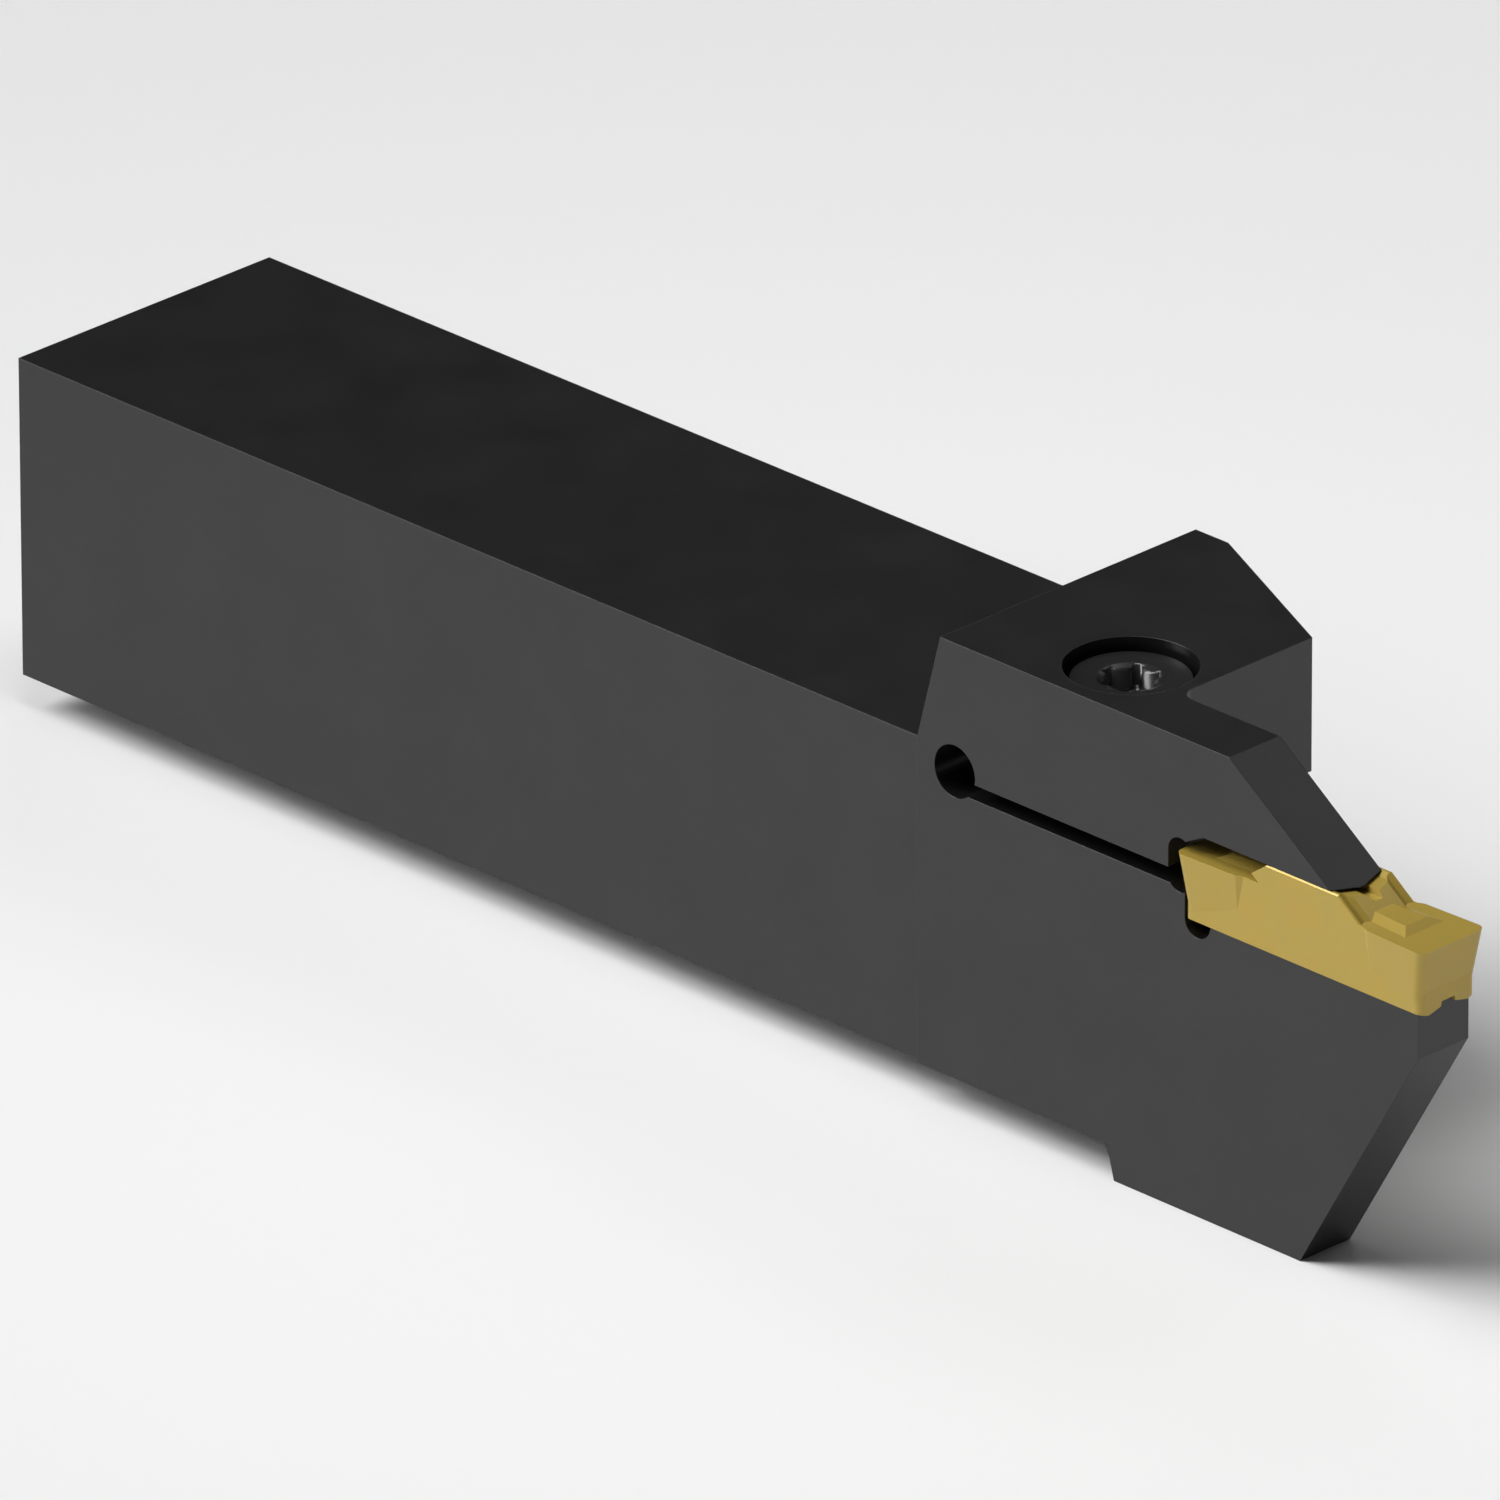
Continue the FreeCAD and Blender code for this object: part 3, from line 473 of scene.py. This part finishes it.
class TOOLHOLDER_OT_stage(Operator):
    """Make the floor, the studio light and the camera"""

    bl_idname = "toolholder.stage"
    bl_label = "Make the stage"

    def execute(self, context):
        studio = context.scene.studio
        self.floor(studio)
        self.sky(context.scene)
        self.lamps()
        self.camera(context.scene, studio)
        context.scene.view_settings.view_transform = "Standard"
        return {"FINISHED"}

    def floor(self, studio):
        build = bmesh.new()
        bmesh.ops.create_circle(
            build, cap_ends=True, segments=FLOOR_SEGMENTS, radius=studio.floor_radius)
        bmesh.ops.translate(build, verts=build.verts, vec=(0, 0, LOWEST - FLOOR_GAP))
        material, nodes = new_material("floor")
        shader = nodes.add("ShaderNodeBsdfPrincipled", {
            "Base Color": (*studio.floor_colour, 1.0), "Roughness": FLOOR_ROUGHNESS,
            "Specular IOR Level": 0.0})
        nodes.add("ShaderNodeOutputMaterial", {"Surface": shader.outputs["BSDF"]})
        new_piece("floor", build, material)

    def sky(self, scene):
        scene.world = bpy.data.worlds.new("studio")
        scene.world.use_nodes = True
        nodes = Nodes(scene.world.node_tree)
        ray = nodes.add("ShaderNodeTexCoord").outputs["Generated"]
        height = nodes.add("ShaderNodeSeparateXYZ", {"Vector": ray}).outputs["Z"]
        colour = nodes.ramp(height, [(level, (grey,) * 3) for level, grey in SKY])
        shader = nodes.add("ShaderNodeBackground", {"Color": colour, "Strength": 1.0})
        nodes.add("ShaderNodeOutputWorld", {"Surface": shader.outputs["Background"]})

    def lamps(self):
        """Soft lamps far away light tool and floor evenly, and a small one lights the insert."""
        for name, azimuth, elevation, width, strength in DISTANT_LAMPS:
            light = bpy.data.lights.new(name, "SUN")
            light.angle = math.radians(width)
            light.energy = strength
            add_lamp(light, TOOL_PLACE, azimuth, elevation, DISTANT_LAMP_DISTANCE)
        light = bpy.data.lights.new("over_insert", "AREA")
        light.size = INSERT_LAMP_SIZE
        light.energy = INSERT_LAMP_WATTS
        add_lamp(light, INSERT_PLACE, *INSERT_LAMP_SPOT)

    def camera(self, scene, studio):
        back = direction(studio.azimuth, studio.elevation)
        right = (-back).cross(Vector((0, 0, 1))).normalized()
        up = back.cross(right)
        across = right * math.cos(studio.roll) + up * math.sin(studio.roll)
        upright = up * math.cos(studio.roll) - right * math.sin(studio.roll)
        data = bpy.data.cameras.new("camera")
        data.sensor_width = SENSOR
        data.lens = studio.lens
        data.clip_start, data.clip_end = CLIP
        camera = bpy.data.objects.new("camera", data)
        place = Vector(studio.look_at) - across * studio.offset[0] \
            - upright * studio.offset[1] + back * studio.distance
        turn = Matrix((across, upright, back)).transposed().to_4x4()
        camera.matrix_world = Matrix.Translation(place) @ turn
        scene.collection.objects.link(camera)
        scene.camera = camera


class TOOLHOLDER_PT_sidebar(Panel):
    """The tool's sizes, colours and steps"""

    bl_idname = "TOOLHOLDER_PT_sidebar"
    bl_label = "Parting tool holder"
    bl_space_type = "VIEW_3D"
    bl_region_type = "UI"
    bl_category = "Tool Holder"

    def draw(self, context):
        layout = self.layout
        scene = context.scene
        for title, group, step in (
                ("Holder", scene.holder_steel, "toolholder.holder_body"),
                ("Insert", scene.insert_coating, "toolholder.cutting_insert"),
                ("Clamp screw", scene.clamp_screw, "toolholder.clamp_screw"),
                ("Studio", scene.studio, "toolholder.stage")):
            box = layout.box()
            box.label(text=title)
            for name in group.__annotations__:
                box.prop(group, name)
            box.operator(step)


GROUPS = (("holder_steel", SteelFinish), ("insert_coating", CoatingFinish),
          ("clamp_screw", ScrewFinish), ("studio", Studio))
STEPS = (TOOLHOLDER_OT_holder_body, TOOLHOLDER_OT_cutting_insert, TOOLHOLDER_OT_clamp_screw,
         TOOLHOLDER_OT_stage)


def register():
    for name, group in GROUPS:
        bpy.utils.register_class(group)
        setattr(bpy.types.Scene, name, PointerProperty(type=group))
    for step in STEPS:
        bpy.utils.register_class(step)
    bpy.utils.register_class(TOOLHOLDER_PT_sidebar)


def unregister():
    bpy.utils.unregister_class(TOOLHOLDER_PT_sidebar)
    for step in reversed(STEPS):
        bpy.utils.unregister_class(step)
    for name, group in reversed(GROUPS):
        delattr(bpy.types.Scene, name)
        bpy.utils.unregister_class(group)


def main():
    register()
    bpy.ops.toolholder.holder_body()
    bpy.ops.toolholder.cutting_insert()
    bpy.ops.toolholder.clamp_screw()
    bpy.ops.toolholder.stage()


if __name__ == "__main__":
    main()
